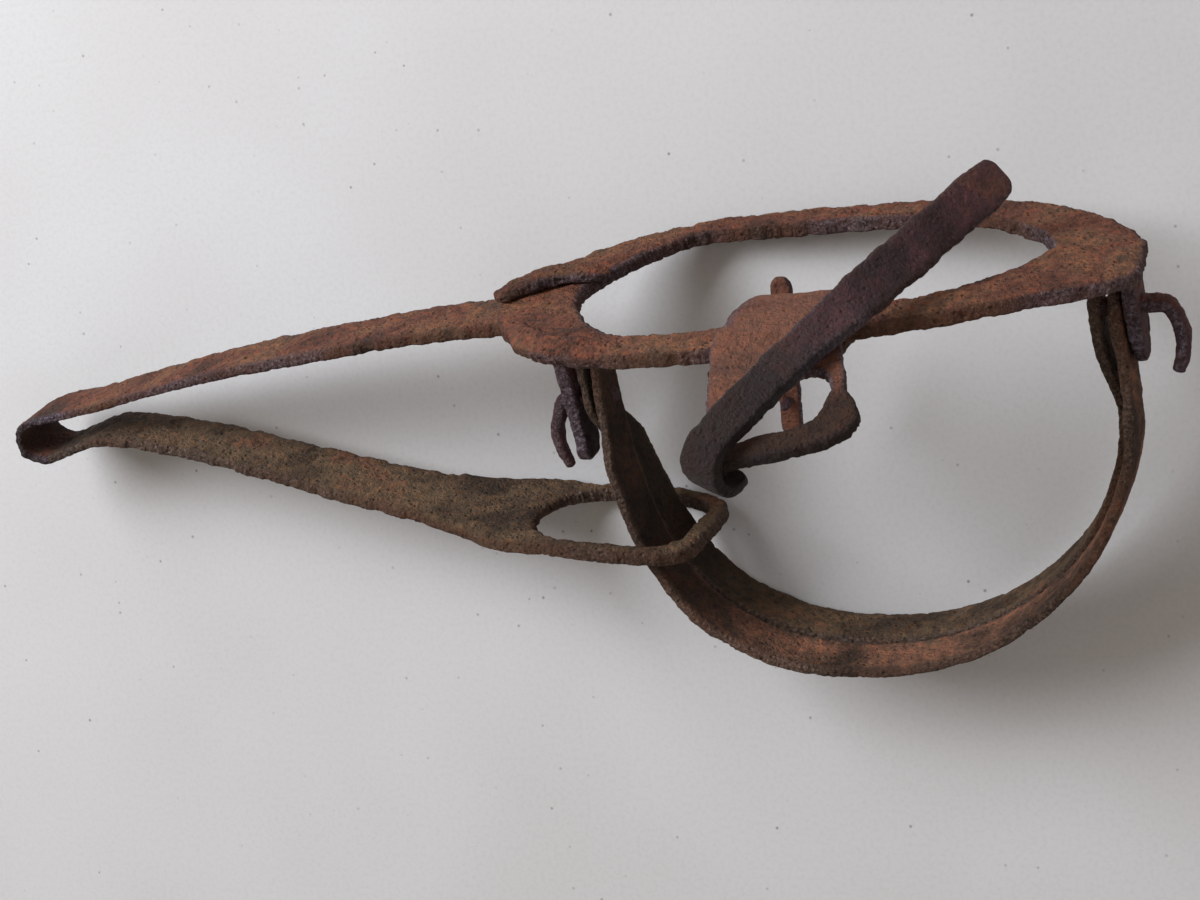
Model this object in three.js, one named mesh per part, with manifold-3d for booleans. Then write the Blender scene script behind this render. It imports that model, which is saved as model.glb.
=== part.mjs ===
// A small hand-forged jaw trap with one bow spring, sprung and lying on its side.
// It is drawn upright first, in the trap's own axes: X runs from the bow to the right post,
// Y to the side of the trigger tongue and Z from the base up to the top of the jaws.
// The finished group is then laid over on its side, with +Z up from the surface it lies on.
// Every size is in millimetres.
import * as THREE from "three";
import { mergeVertices } from "three/addons/utils/BufferGeometryUtils.js";
import Module from "manifold-3d";

const wasm = await Module();
wasm.setup();

// ---- driving sizes ----
const gap = 0.35; // between pieces that touch
const baseLength = 98.5; // oval frame, along X
const baseWidth = 56; // oval frame, across Y
const railWidth = 6.4;
const nearRailShare = 1.22; // the near rail is this much wider than the far one
const baseThickness = 2.6;
const baseShift = -1.2; // middle of the oval, along X

const postThickness = 3;
const leftPostWidth = 6;
const leftPostHeight = 30.5;
const leftPivotHeight = 19.5; // the left post's hole
const rightPostThickness = 2.2;
const rightPostWidth = 8;
const rightPostHeight = 18.5;
const rightPivotHeight = 9.5; // the right tab's hole
const postSpan = 88.8; // between the posts' inner faces
const postShift = 1.4; // middle of the posts, along X

const pinDiameter = 2.6; // the jaws' tails
const pinClearance = 0.45;
const jawWidth = 10; // each jaw's strip
const jawThickness = 1.7;
const jawRise = 64.2; // top of the arch above the base
const jawStagger = 1.2; // low down, the near jaw stands this much to the right, the far one to the left
const earSpacing = 3; // between the two jaws' ears at one post
const jawLean = 5; // degrees, both closed jaws together
const earWidth = 7;
const hookReach = 3.6; // a tail's hook, out from its post
const hookLength = 11.4;

const springWidth = 12;
const springThickness = 2.5; // at the base
const bowThickness = 1.5;
const bowReach = 157; // far end of the bow from the middle of the trap
const bowHeight = 19.8; // middle of the bow above the base
const bowRadius = 3.7;
const eyeHeight = 40.5;
const eyeInside = 22.4; // the eye's opening, across
const eyeLength = 28; // the eye's opening, along X
const eyeWall = 2.7;
const eyeSide = 2.3; // the eye's middle, off the trap's middle

const tongueThickness = 1.8;
const tongueRise = 13; // degrees
const tongueReach = 57.6; // the tongue's end from the middle of the trap

const dogLength = 67.3;
const dogYaw = 24; // degrees from straight across the trap
const dogPitch = 8.8; // degrees away from the base
const dogWidth = 7;
const dogThickness = 2.1;

const triggerX = -6;
const triggerLow = 1.2;
const triggerHigh = 27.5;
const triggerWidth = 3.4;
const triggerThickness = 1.7;
const triggerLean = 7; // degrees

// The trap lies on its side, on the far rail, the top of the far jaw and the spring's eye.
const lieRoll = 108.37; // degrees about X, from upright
const lieTilt = -3.36; // then degrees about Y

// ---- helpers ----
const deg = Math.PI / 180;
const steel = (color, roughness, metalness) =>
  new THREE.MeshStandardMaterial({ color, roughness, metalness });
const orangeRust = steel("#8a5036", 0.9, 0.2);
const brownRust = steel("#5c4236", 0.85, 0.3);
const oliveRust = steel("#5f4f3c", 0.9, 0.25);
const darkRust = steel("#43333a", 0.7, 0.4);

function solidFrom(geometry) {
  const bare = geometry.index ? geometry.toNonIndexed() : geometry.clone();
  bare.deleteAttribute("normal");
  bare.deleteAttribute("uv");
  const merged = mergeVertices(bare, 1e-4);
  return new wasm.Manifold(
    new wasm.Mesh({
      numProp: 3,
      vertProperties: new Float32Array(merged.attributes.position.array),
      triVerts: new Uint32Array(merged.index.array),
    }),
  );
}

function geometryFrom(solid) {
  const mesh = solid.getMesh();
  const geometry = new THREE.BufferGeometry();
  geometry.setAttribute("position", new THREE.BufferAttribute(mesh.vertProperties, 3));
  geometry.setIndex(new THREE.BufferAttribute(mesh.triVerts, 1));
  geometry.computeVertexNormals();
  return geometry;
}

function piece(name, solid, material) {
  const mesh = new THREE.Mesh(geometryFrom(solid), material);
  mesh.name = name;
  return mesh;
}

const spline = (points, closed = false) =>
  new THREE.CatmullRomCurve3(
    points.map(([x, y]) => new THREE.Vector3(x, y, 0)),
    closed,
    "centripetal",
  );
const flat = (points) => points.map((p) => new THREE.Vector2(p.x, p.y));

// A flat plate: an outline in X and Y, from z = low, this thick.
function plate(outline, low, thickness) {
  const geometry = new THREE.ExtrudeGeometry(new THREE.Shape(outline), {
    depth: thickness,
    bevelEnabled: false,
  });
  return solidFrom(geometry.translate(0, 0, low));
}

// A strip bent the easy way: an outline in X and Z, carried across Y from y = side.
function across(outline, side, width) {
  const geometry = new THREE.ExtrudeGeometry(new THREE.Shape(outline), {
    depth: width,
    bevelEnabled: false,
  });
  geometry.rotateX(Math.PI / 2);
  return solidFrom(geometry.translate(0, side + width, 0));
}

// The closed outline of a strip: its middle line moved half its thickness to each side.
function stripOutline(curve, steps, thicknessAt) {
  const left = [];
  const right = [];
  for (let i = 0; i <= steps; i++) {
    const t = i / steps;
    const p = curve.getPoint(t);
    const d = curve.getTangent(t);
    const half = thicknessAt(t) / 2;
    left.push(new THREE.Vector2(p.x - d.y * half, p.y + d.x * half));
    right.push(new THREE.Vector2(p.x + d.y * half, p.y - d.x * half));
  }
  return [...left, ...right.reverse()];
}

const box = (w, d, h, x, y, z) =>
  solidFrom(new THREE.BoxGeometry(w, d, h).translate(x, y, z));

// A rod from a to b.
function rod(diameter, a, b) {
  const from = new THREE.Vector3(...a);
  const to = new THREE.Vector3(...b);
  const along = to.clone().sub(from);
  const geometry = new THREE.CylinderGeometry(diameter / 2, diameter / 2, along.length(), 20);
  const turn = new THREE.Quaternion().setFromUnitVectors(
    new THREE.Vector3(0, 1, 0),
    along.clone().normalize(),
  );
  geometry.applyQuaternion(turn);
  return solidFrom(geometry.translate(...from.add(to).multiplyScalar(0.5).toArray()));
}

// A round bar bent along points, its section this wide.
function bentRod(diameter, points) {
  const path = new THREE.CatmullRomCurve3(points.map((p) => new THREE.Vector3(...p)));
  const ring = new THREE.Shape();
  ring.absarc(0, 0, diameter / 2, 0, 2 * Math.PI);
  return solidFrom(
    new THREE.ExtrudeGeometry(ring, {
      steps: 18,
      curveSegments: 7,
      bevelEnabled: false,
      extrudePath: path,
    }),
  );
}

// ---- the pivot line of both jaws, through the two posts ----
const leftPostX = postShift - postSpan / 2 - postThickness / 2;
const rightPostX = postShift + postSpan / 2 + rightPostThickness / 2;
const leftPivot = new THREE.Vector3(leftPostX, 0, leftPivotHeight);
const rightPivot = new THREE.Vector3(rightPostX, 0, rightPivotHeight);
const pivotSlope = (rightPivot.z - leftPivot.z) / (rightPivot.x - leftPivot.x);
const pivotZ = (x) => leftPivot.z + (x - leftPivot.x) * pivotSlope;
const onPivot = (x) => [x, 0, pivotZ(x)];
const holeDiameter = pinDiameter + 2 * pinClearance;

// ---- base frame ----
// Half widths at even stations from the bow end to the right end, as shares of the base's half width.
const farShares = [0.22, 0.7, 0.9, 0.942, 0.94, 0.9, 0.8, 0.58, 0.05];
const nearShares = [0.3, 0.83, 0.99, 1.03, 0.975, 0.85, 0.74, 0.6, 0.43];
const baseLeft = baseShift - baseLength / 2;
const baseRight = baseShift + baseLength / 2;
const stationX = (i) => baseLeft + (baseLength * i) / (farShares.length - 1);

function baseOutline() {
  const far = farShares.map((s, i) => [stationX(i), (-s * baseWidth) / 2]);
  const near = nearShares.map((s, i) => [stationX(i), (s * baseWidth) / 2]).reverse();
  return flat(spline([...far, ...near], true).getPoints(96)).slice(0, -1);
}

function openingOutline() {
  const inner = [];
  const last = farShares.length - 2;
  for (let i = 2; i < last; i++)
    inner.push([stationX(i) - 1, (-farShares[i] * baseWidth) / 2 + railWidth]);
  inner.push([baseRight - 2 * railWidth, -1]);
  for (let i = last - 1; i > 1; i--)
    inner.push([stationX(i) - 1, (nearShares[i] * baseWidth) / 2 - railWidth * nearRailShare]);
  inner.push([baseLeft + 1.85 * railWidth, 1]);
  return flat(spline(inner, true).getPoints(72)).slice(0, -1);
}

function baseFrame() {
  const oval = plate(baseOutline(), 0, baseThickness);
  const hole = plate(openingOutline(), -1, baseThickness + 2);
  return oval.subtract(hole);
}

// ---- the folded lugs of the frame that hold the spring's end ----
const springLow = baseThickness + gap; // the spring's under face on the base

function clasp(side) {
  const inner = springWidth / 2 + gap;
  const wall = 2.2;
  const top = springLow + springThickness + gap;
  const outline = [
    [inner, baseThickness + gap],
    [inner + wall, baseThickness + gap],
    [inner + wall, top + 1.2],
    [inner + wall - 1, top + wall],
    [inner - 3.6, top + wall],
    [inner - 4.6, top + 1],
    [inner - 4.4, top],
    [inner, top],
  ].map(([y, z]) => new THREE.Vector2(y * side, z));
  const geometry = new THREE.ExtrudeGeometry(new THREE.Shape(outline), {
    depth: springEnd - baseLeft - 0.6,
    bevelEnabled: false,
  });
  geometry.rotateY(Math.PI / 2);
  geometry.rotateX(Math.PI / 2);
  return solidFrom(geometry.translate(baseLeft + 0.6, 0, 0));
}

// ---- posts ----
function leftPost() {
  const w = leftPostWidth / 2;
  const outline = new THREE.Shape();
  const low = baseThickness + gap;
  outline.moveTo(-w, low);
  outline.lineTo(w, low);
  outline.lineTo(w * 0.92, leftPostHeight - w);
  outline.absarc(0, leftPostHeight - w, w * 0.92, 0, Math.PI, false);
  const geometry = new THREE.ExtrudeGeometry(outline, {
    depth: postThickness,
    bevelEnabled: false,
    curveSegments: 10,
  });
  geometry.rotateX(Math.PI / 2);
  geometry.rotateZ(Math.PI / 2);
  const post = solidFrom(geometry.translate(leftPostX - postThickness / 2, 0, 0));
  return post.subtract(rod(holeDiameter, onPivot(leftPostX - 5), onPivot(leftPostX + 5)));
}

function rightPost() {
  const w = rightPostWidth / 2;
  const outline = new THREE.Shape();
  outline.moveTo(-w, baseThickness + gap);
  outline.lineTo(w, baseThickness + gap);
  outline.lineTo(w * 0.9, rightPivotHeight + 2);
  outline.lineTo(w * 0.35, rightPostHeight);
  outline.lineTo(-w * 0.35, rightPostHeight);
  outline.lineTo(-w * 0.9, rightPivotHeight + 2);
  const geometry = new THREE.ExtrudeGeometry(outline, {
    depth: rightPostThickness,
    bevelEnabled: false,
  });
  geometry.rotateX(Math.PI / 2);
  geometry.rotateZ(Math.PI / 2);
  const post = solidFrom(geometry.translate(rightPostX - rightPostThickness / 2, 0, 0));
  return post.subtract(rod(holeDiameter, onPivot(rightPostX - 5), onPivot(rightPostX + 5)));
}

// ---- jaws ----
// The arch, as shares of the half span between the legs and of the rise.
const archShares = [
  [-0.98, 0.3], [-0.945, 0.42], [-0.85, 0.66], [-0.68, 0.85], [-0.4, 0.966], [-0.06, 1],
  [0.25, 0.976], [0.53, 0.896], [0.77, 0.76], [0.915, 0.6], [0.99, 0.43], [1.02, 0.27],
];
const legHalf = 42.5;
const archMiddle = 1.5;

function archCurve(side, leftEnd, rightEnd) {
  const points = archShares.map(([u, v]) => {
    const low = Math.max(0, Math.min(1, (0.95 - v) / 0.5));
    return [archMiddle + side * jawStagger * low + u * legHalf, v * jawRise];
  });
  points[0] = leftEnd;
  points[points.length - 1] = rightEnd;
  return spline(points);
}

function jaw(side) {
  const leftX = leftPostX + postThickness / 2 + gap + jawThickness / 2 + (side > 0 ? earSpacing : 0);
  const rightX = rightPostX - rightPostThickness / 2 - gap - jawThickness / 2 - (side > 0 ? 0 : earSpacing);
  const leftEnd = [leftX, pivotZ(leftX) + earWidth * 0.75];
  const rightEnd = [rightX, pivotZ(rightX) + earWidth * 0.75];
  const outline = stripOutline(archCurve(side, leftEnd, rightEnd), 72, () => jawThickness);
  const inner = side > 0 ? gap / 2 : -gap / 2 - jawWidth;
  let body = across(outline, inner, jawWidth);
  for (const x of [leftX, rightX]) {
    const ear = new THREE.Shape();
    const w = earWidth / 2;
    ear.absarc(0, 0, w, Math.PI, 2 * Math.PI, false);
    ear.lineTo(w, earWidth * 0.8);
    ear.lineTo(-w, earWidth * 0.8);
    const geometry = new THREE.ExtrudeGeometry(ear, {
      depth: jawThickness,
      bevelEnabled: false,
      curveSegments: 10,
    });
    geometry.rotateX(Math.PI / 2);
    geometry.rotateZ(Math.PI / 2);
    body = body.add(solidFrom(geometry.translate(x - jawThickness / 2, 0, pivotZ(x))));
  }
  const tailX = side > 0 ? leftX : rightX;
  const eyeX = side > 0 ? rightX : leftX;
  body = body.subtract(rod(holeDiameter, onPivot(eyeX - 1.2), onPivot(eyeX + 1.2)));
  const out = side > 0 ? -1 : 1;
  const postFace = side > 0 ? leftPostX - postThickness / 2 : rightPostX + rightPostThickness / 2;
  const reach = postFace + out * hookReach;
  const z = pivotZ(reach);
  const tail = bentRod(pinDiameter, [
    onPivot(tailX),
    onPivot((tailX + postFace) / 2),
    onPivot(postFace + out * 1.2),
    [postFace + out * (hookReach - 1.6), 0, z + 1.4],
    [reach, 0, z + 5],
    [reach - out * 0.3, 0, z + hookLength - 3],
    [reach - out * 1.3, 0, z + hookLength],
  ]);
  return body.add(tail);
}

// ---- spring: one flat strip bent into a bow, the upper arm lying on the base ----
const bowX = -bowReach + bowRadius + bowThickness / 2;
const springEnd = leftPostX - postThickness / 2 - 0.8;
const fixedLine = [
  [springEnd, springLow + springThickness / 2],
  [baseLeft - 6, springLow + springThickness / 2 + 0.2],
  [-88, 6.6], [-108, 8.8], [-127, 12], [-142, 14.6],
  [bowX, bowHeight - bowRadius],
  [bowX - bowRadius * 0.75, bowHeight - bowRadius * 0.66],
];
const movingLine = [
  [bowX - bowRadius * 0.75, bowHeight + bowRadius * 0.66],
  [bowX + 0.5, bowHeight + bowRadius],
  [-145.5, 21.8], [-139.5, 20.3], [-133, 20.7], [-120, 23.6],
  [-102, 28.9], [-90, 32.3], [-78, 35.5], [-67, 38.3], [-56, 39.8],
  [-42, eyeHeight + 0.6], [-24, eyeHeight + 3.4],
];

function springFixedArm() {
  const ends = fixedLine.concat([[bowX - bowRadius, bowHeight - gap]]);
  const thickness = (t) => springThickness + (bowThickness - springThickness) * Math.min(1, t * 1.25);
  return across(stripOutline(spline(ends), 60, thickness), -springWidth / 2, springWidth);
}

// Plan of the moving arm: half widths along X, and how far its middle stands off the trap's.
const armPlan = [
  [-bowReach - 4, 0.5, 0], [-140, 0.5, 0], [-110, 0.53, 0.2], [-85, 0.6, 0.8], [-66, 0.72, 1.8],
];

function eyeOutline(extra, back) {
  const points = [];
  const middle = -41.8;
  const count = 44;
  for (let i = 0; i < count; i++) {
    const a = (2 * Math.PI * i) / count;
    const c = Math.cos(a);
    const s = Math.sin(a);
    const square = c > 0 ? 0.36 : 0.95; // the far end is cornered, the near end drawn out
    const long = eyeLength / 2 + extra + (c < 0 ? back : 0);
    points.push(
      new THREE.Vector2(
        middle + Math.sign(c) * Math.abs(c) ** (c > 0 ? 0.8 : 1) * long,
        eyeSide + Math.sign(s) * Math.abs(s) ** square * (eyeInside / 2 + extra),
      ),
    );
  }
  return points;
}

function springMovingArm() {
  const ends = [[bowX - bowRadius, bowHeight + gap]].concat(movingLine);
  const thickness = (t) => bowThickness + 0.6 * Math.min(1, t * 2);
  const wide = eyeInside + 2 * eyeWall + 12;
  const strip = across(stripOutline(spline(ends), 80, thickness), eyeSide - wide / 2, wide);
  const far = armPlan.map(([x, share, mid]) => [x, mid - share * springWidth]);
  const near = armPlan.map(([x, share, mid]) => [x, mid + share * springWidth]).reverse();
  const neck = [[-54, eyeSide - eyeInside / 2 - eyeWall + 3.2]];
  const neckNear = [[-54, eyeSide + eyeInside / 2 + eyeWall - 3.2]];
  const line = [...far, ...neck, ...neckNear, ...near].map(([x, y]) => new THREE.Vector2(x, y));
  const plan = plate(line, -10, 90).add(plate(eyeOutline(eyeWall, 0), -10, 90));
  return strip.intersect(plan).subtract(plate(eyeOutline(0, 0), -20, 120));
}

// ---- trigger tongue: a plate clenched round the near rail, rising outwards to an eye ----
const railOuter = 27.8; // outer edge of the near rail at the tongue
const clenchReach = 4.892; // the clench goes this far past the rail's inner edge
const tongueRoot = railOuter + 0.4; // where the tongue starts to rise
const tongueX = 2.5;

const tongueRun = (tongueReach - tongueRoot) / Math.cos(tongueRise * deg);

// Points are across the tongue and, as shares of its run, out along it.
function tongueOutline() {
  const points = [
    [-7.2, -0.29], [-8.6, -0.11], [-8.6, 0.09], [-7.3, 0.27], [-6.6, 0.4], [-5.2, 0.57],
    [-4.4, 0.7], [-3.9, 0.82], [-3.1, 0.905], [-1.4, 0.945], [1, 0.93], [4.5, 0.895],
    [7.9, 0.87], [12.5, 0.82], [15.8, 0.74], [16.6, 0.66], [15.6, 0.55], [13.9, 0.46],
    [12.7, 0.33], [10.4, 0.1], [9.4, -0.1], [8.4, -0.29],
  ];
  return flat(spline(points.map(([x, r]) => [x, r * tongueRun]), true).getPoints(88)).slice(0, -1);
}

function tongueHole() {
  const points = [
    [8.8, 0.31], [11.3, 0.42], [11.5, 0.52], [10.6, 0.65], [9, 0.7], [6.7, 0.725],
    [3.5, 0.75], [0.8, 0.8], [-1, 0.81], [-1.7, 0.74], [-0.6, 0.6], [2.4, 0.44], [5.6, 0.34],
  ];
  return flat(spline(points.map(([x, r]) => [x, r * tongueRun]), true).getPoints(48)).slice(0, -1);
}

function triggerTongue() {
  const tilt = (solid) => solid.rotate([tongueRise, 0, 0]);
  const outline = plate(tongueOutline(), -tongueThickness, tongueThickness);
  const hole = plate(tongueHole(), -tongueThickness - 1, tongueThickness + 2);
  const ahead = box(60, 90, 40, 0, 45, 0);
  const rising = tilt(outline.subtract(hole).intersect(ahead)).translate([tongueX, tongueRoot, -gap]);
  const inner = railOuter - railWidth * nearRailShare - clenchReach;
  const wrap = [
    [tongueRoot + 0.5, -gap - tongueThickness],
    [inner + 1.2, -gap - tongueThickness],
    [inner - 1.3, -gap - tongueThickness * 0.4],
    [inner - 1.8, baseThickness / 2],
    [inner - 1.3, baseThickness + gap + tongueThickness * 0.5],
    [inner + 0.8, baseThickness + gap + tongueThickness],
    [railOuter - 2, baseThickness + gap + tongueThickness],
    [railOuter - 1, baseThickness + gap],
    [inner, baseThickness + gap],
    [inner, -gap],
    [tongueRoot + 0.5, -gap],
  ].map(([y, z]) => new THREE.Vector2(y, z));
  const geometry = new THREE.ExtrudeGeometry(new THREE.Shape(wrap), {
    depth: 15.6,
    bevelEnabled: false,
  });
  geometry.rotateY(Math.PI / 2);
  geometry.rotateX(Math.PI / 2);
  const clench = solidFrom(geometry.translate(tongueX - 7, 0, 0));
  return clench.add(rising);
}

// ---- dog: a bar whose foot is curled round the border of the tongue's hole ----
const curlInside = 2.5;
const borderRun = 0.88; // middle of that border, as a share of the tongue's run
const dogFoot = new THREE.Vector3(
  tongueX - 0.9,
  tongueRoot + Math.cos(tongueRise * deg) * borderRun * tongueRun,
  -gap - tongueThickness / 2 + Math.sin(tongueRise * deg) * borderRun * tongueRun,
);

function dog() {
  const middle = curlInside + dogThickness / 2;
  const line = [
    [dogLength, middle + 1], [dogLength * 0.8, middle + 0.9], [dogLength * 0.35, middle + 1.1],
    [dogLength * 0.2, middle + 0.9], [3.5, middle + 0.1],
  ];
  for (const a of [70, 110, 150, 190, 230, 270, 305])
    line.push([middle * Math.cos((a * Math.PI) / 180), middle * Math.sin((a * Math.PI) / 180)]);
  const outline = stripOutline(spline(line), 70, () => dogThickness);
  const plan = new THREE.Shape();
  const w = dogWidth / 2;
  plan.moveTo(-6, -w * 0.95);
  plan.lineTo(dogLength * 0.8, -w);
  plan.lineTo(dogLength - 3, -w * 1.3);
  plan.lineTo(dogLength - 0.6, -w * 0.8);
  plan.lineTo(dogLength, 0);
  plan.lineTo(dogLength - 1.2, w * 0.9);
  plan.lineTo(dogLength - 4, w * 1.25);
  plan.lineTo(dogLength * 0.8, w);
  plan.lineTo(-6, w * 0.95);
  const cut = solidFrom(
    new THREE.ExtrudeGeometry(plan, { depth: 40, bevelEnabled: false }).translate(0, 0, -20),
  );
  return across(outline, -dogWidth, 2 * dogWidth).intersect(cut);
}

// ---- trigger: a bracket from the tongue's clench, and a flat pin that rocks in its slot ----
const bracketLow = baseThickness + 2 * gap + tongueThickness;
const bracketThickness = 1.8;
const bracketWidth = 8.6;
const slotClearance = 0.9;
const slotRun = 6.4;

function triggerBracket() {
  const inner = -slotRun / 2 - 2;
  const outer = railOuter - 2;
  const strip = box(
    bracketWidth, outer - inner, bracketThickness,
    triggerX + 0.5, (outer + inner) / 2, bracketLow + bracketThickness / 2,
  );
  const slot = box(triggerWidth + 2 * slotClearance, slotRun, 10, triggerX, 0, bracketLow);
  return strip.subtract(slot);
}

function triggerPost() {
  const w = triggerWidth / 2;
  const length = triggerHigh - triggerLow;
  const outline = new THREE.Shape();
  outline.absarc(0, w, w, Math.PI, 2 * Math.PI, false);
  outline.lineTo(w * 0.8, length);
  outline.lineTo(-w * 0.8, length);
  const geometry = new THREE.ExtrudeGeometry(outline, {
    depth: triggerThickness,
    bevelEnabled: false,
    curveSegments: 8,
  });
  geometry.translate(0, 0, -triggerThickness / 2);
  geometry.rotateX(Math.PI / 2);
  return solidFrom(geometry).subtract(rod(catchDiameter + 0.7, [0, -3, catchHeight], [0, 3, catchHeight]));
}

const catchDiameter = 1.3;
const catchHeight = 20.5;

const trap = new THREE.Group();
trap.add(piece("base_frame", baseFrame(), orangeRust));
trap.add(piece("spring_clasp_near", clasp(1), brownRust));
trap.add(piece("spring_clasp_far", clasp(-1), brownRust));
trap.add(piece("left_post", leftPost(), brownRust));
trap.add(piece("right_post", rightPost(), brownRust));
trap.add(piece("spring_fixed_arm", springFixedArm(), orangeRust));
trap.add(piece("spring_moving_arm", springMovingArm(), oliveRust));
trap.add(piece("trigger_tongue", triggerTongue(), orangeRust));
trap.add(piece("trigger_bracket", triggerBracket(), brownRust));

const trigger = new THREE.Group();
trigger.position.set(triggerX, 0, triggerLow);
trigger.rotation.y = -triggerLean * deg;
trigger.add(piece("trigger_post", triggerPost(), brownRust));
trigger.add(
  piece(
    "catch_pin",
    rod(catchDiameter, [0, -3.4, catchHeight], [0, 3.4, catchHeight]),
    brownRust,
  ),
);
trap.add(trigger);

const dogGroup = new THREE.Group();
const along = new THREE.Vector3(
  Math.sin(dogYaw * deg) * Math.cos(dogPitch * deg),
  -Math.cos(dogYaw * deg) * Math.cos(dogPitch * deg),
  -Math.sin(dogPitch * deg),
);
const outward = new THREE.Vector3(0, 0, -1);
outward.addScaledVector(along, -outward.dot(along)).normalize();
const hinge = new THREE.Vector3().crossVectors(outward, along);
dogGroup.quaternion.setFromRotationMatrix(new THREE.Matrix4().makeBasis(along, hinge, outward));
dogGroup.position.copy(dogFoot);
dogGroup.add(piece("dog", dog(), darkRust));
trap.add(dogGroup);

const jaws = new THREE.Group();
const lean = new THREE.Matrix4().makeRotationAxis(
  rightPivot.clone().sub(leftPivot).normalize(),
  -jawLean * deg,
);
jaws.applyMatrix4(
  new THREE.Matrix4()
    .makeTranslation(...leftPivot.toArray())
    .multiply(lean)
    .multiply(new THREE.Matrix4().makeTranslation(...leftPivot.clone().negate().toArray())),
);
jaws.add(piece("near_jaw", jaw(1), orangeRust));
jaws.add(piece("far_jaw", jaw(-1), oliveRust));
trap.add(jaws);

// ---- laid on its side, origin under the middle of its box ----
trap.rotation.x = lieRoll * deg;
const lying = new THREE.Group();
lying.rotation.y = lieTilt * deg;
lying.add(trap);
const part = new THREE.Group();
part.add(lying);
part.updateMatrixWorld(true);
const extent = new THREE.Box3().setFromObject(part, true);
const centre = extent.getCenter(new THREE.Vector3());
lying.position.set(-centre.x, -centre.y, -extent.min.z);

export default part;
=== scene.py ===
# Old hand-forged mouse trap with jaws, sprung and lying on its side on a pale worktop.
import math
import bpy
import numpy as np
from mathutils import Euler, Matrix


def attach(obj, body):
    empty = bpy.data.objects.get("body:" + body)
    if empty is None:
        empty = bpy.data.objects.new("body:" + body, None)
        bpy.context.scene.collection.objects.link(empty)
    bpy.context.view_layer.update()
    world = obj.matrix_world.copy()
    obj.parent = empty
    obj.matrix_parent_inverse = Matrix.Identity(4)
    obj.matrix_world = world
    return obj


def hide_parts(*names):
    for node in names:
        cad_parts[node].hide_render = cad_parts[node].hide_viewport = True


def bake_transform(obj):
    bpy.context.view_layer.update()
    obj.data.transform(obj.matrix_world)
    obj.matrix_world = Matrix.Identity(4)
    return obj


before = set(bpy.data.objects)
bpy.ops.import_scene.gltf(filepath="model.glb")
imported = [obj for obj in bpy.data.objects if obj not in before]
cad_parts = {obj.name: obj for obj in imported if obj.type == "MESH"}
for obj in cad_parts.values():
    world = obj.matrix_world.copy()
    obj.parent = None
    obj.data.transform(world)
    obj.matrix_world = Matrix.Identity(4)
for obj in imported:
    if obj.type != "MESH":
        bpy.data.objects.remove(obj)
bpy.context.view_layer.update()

print("frame loaded")

# how the trap lies
# Shapes are drawn in the trap's own axes in mm: x from the bow to the right post,
# y towards the trigger tongue, z from the base up to the arch of the jaws.
lying = {"roll": 108.37, "tilt": -3.36, "shift": (51.7747, 26.447, 26.7114)}
roll, tilt = math.radians(lying["roll"]), math.radians(lying["tilt"])
rollTurn = np.array([[1, 0, 0], [0, math.cos(roll), -math.sin(roll)], [0, math.sin(roll), math.cos(roll)]])
tiltTurn = np.array([[math.cos(tilt), 0, math.sin(tilt)], [0, 1, 0], [-math.sin(tilt), 0, math.cos(tilt)]])
trapTurn = tiltTurn @ rollTurn


def toTable(points):
    # trap mm to the lying frame in metres
    return (np.asarray(points, float) @ trapTurn.T + np.array(lying["shift"])) / 1000


# noise and curves
def latticeNoise(p, seed):
    # value noise: eight corner values of each unit cell, blended with a smooth step
    base = np.floor(p).astype(np.int64)
    f = p - base
    f = f * f * (3 - 2 * f)
    total = np.zeros(p.shape[:-1])
    for corner in range(8):
        c = np.array([corner & 1, corner >> 1 & 1, corner >> 2 & 1])
        q = base + c
        h = (q[..., 0] * 73856093) ^ (q[..., 1] * 19349663) ^ (q[..., 2] * 83492791) ^ (seed * 2654435761)
        h = (h ^ (h >> 13)) * 1274126177 & 0x7FFFFFFF
        h = ((h ^ (h >> 16)) & 0xFFFF) / 65535.0
        w = np.prod(np.where(c == 1, f, 1 - f), axis=-1)
        total += w * h
    return total * 2 - 1


def fractal(p, size, seed, octaves=4, gain=0.55):
    # sum of octaves, each half the size and weaker; about -1..1
    total, amp, norm = 0.0, 1.0, 0.0
    for i in range(octaves):
        total = total + amp * latticeNoise(p / size * 2 ** i + 17.3 * i, seed + i)
        norm += amp
        amp *= gain
    return total / norm


def smooth(x, low, high):
    # 0 below low, 1 above high, and an S curve between
    t = np.clip((x - low) / (high - low), 0, 1)
    return t * t * (3 - 2 * t)


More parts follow.
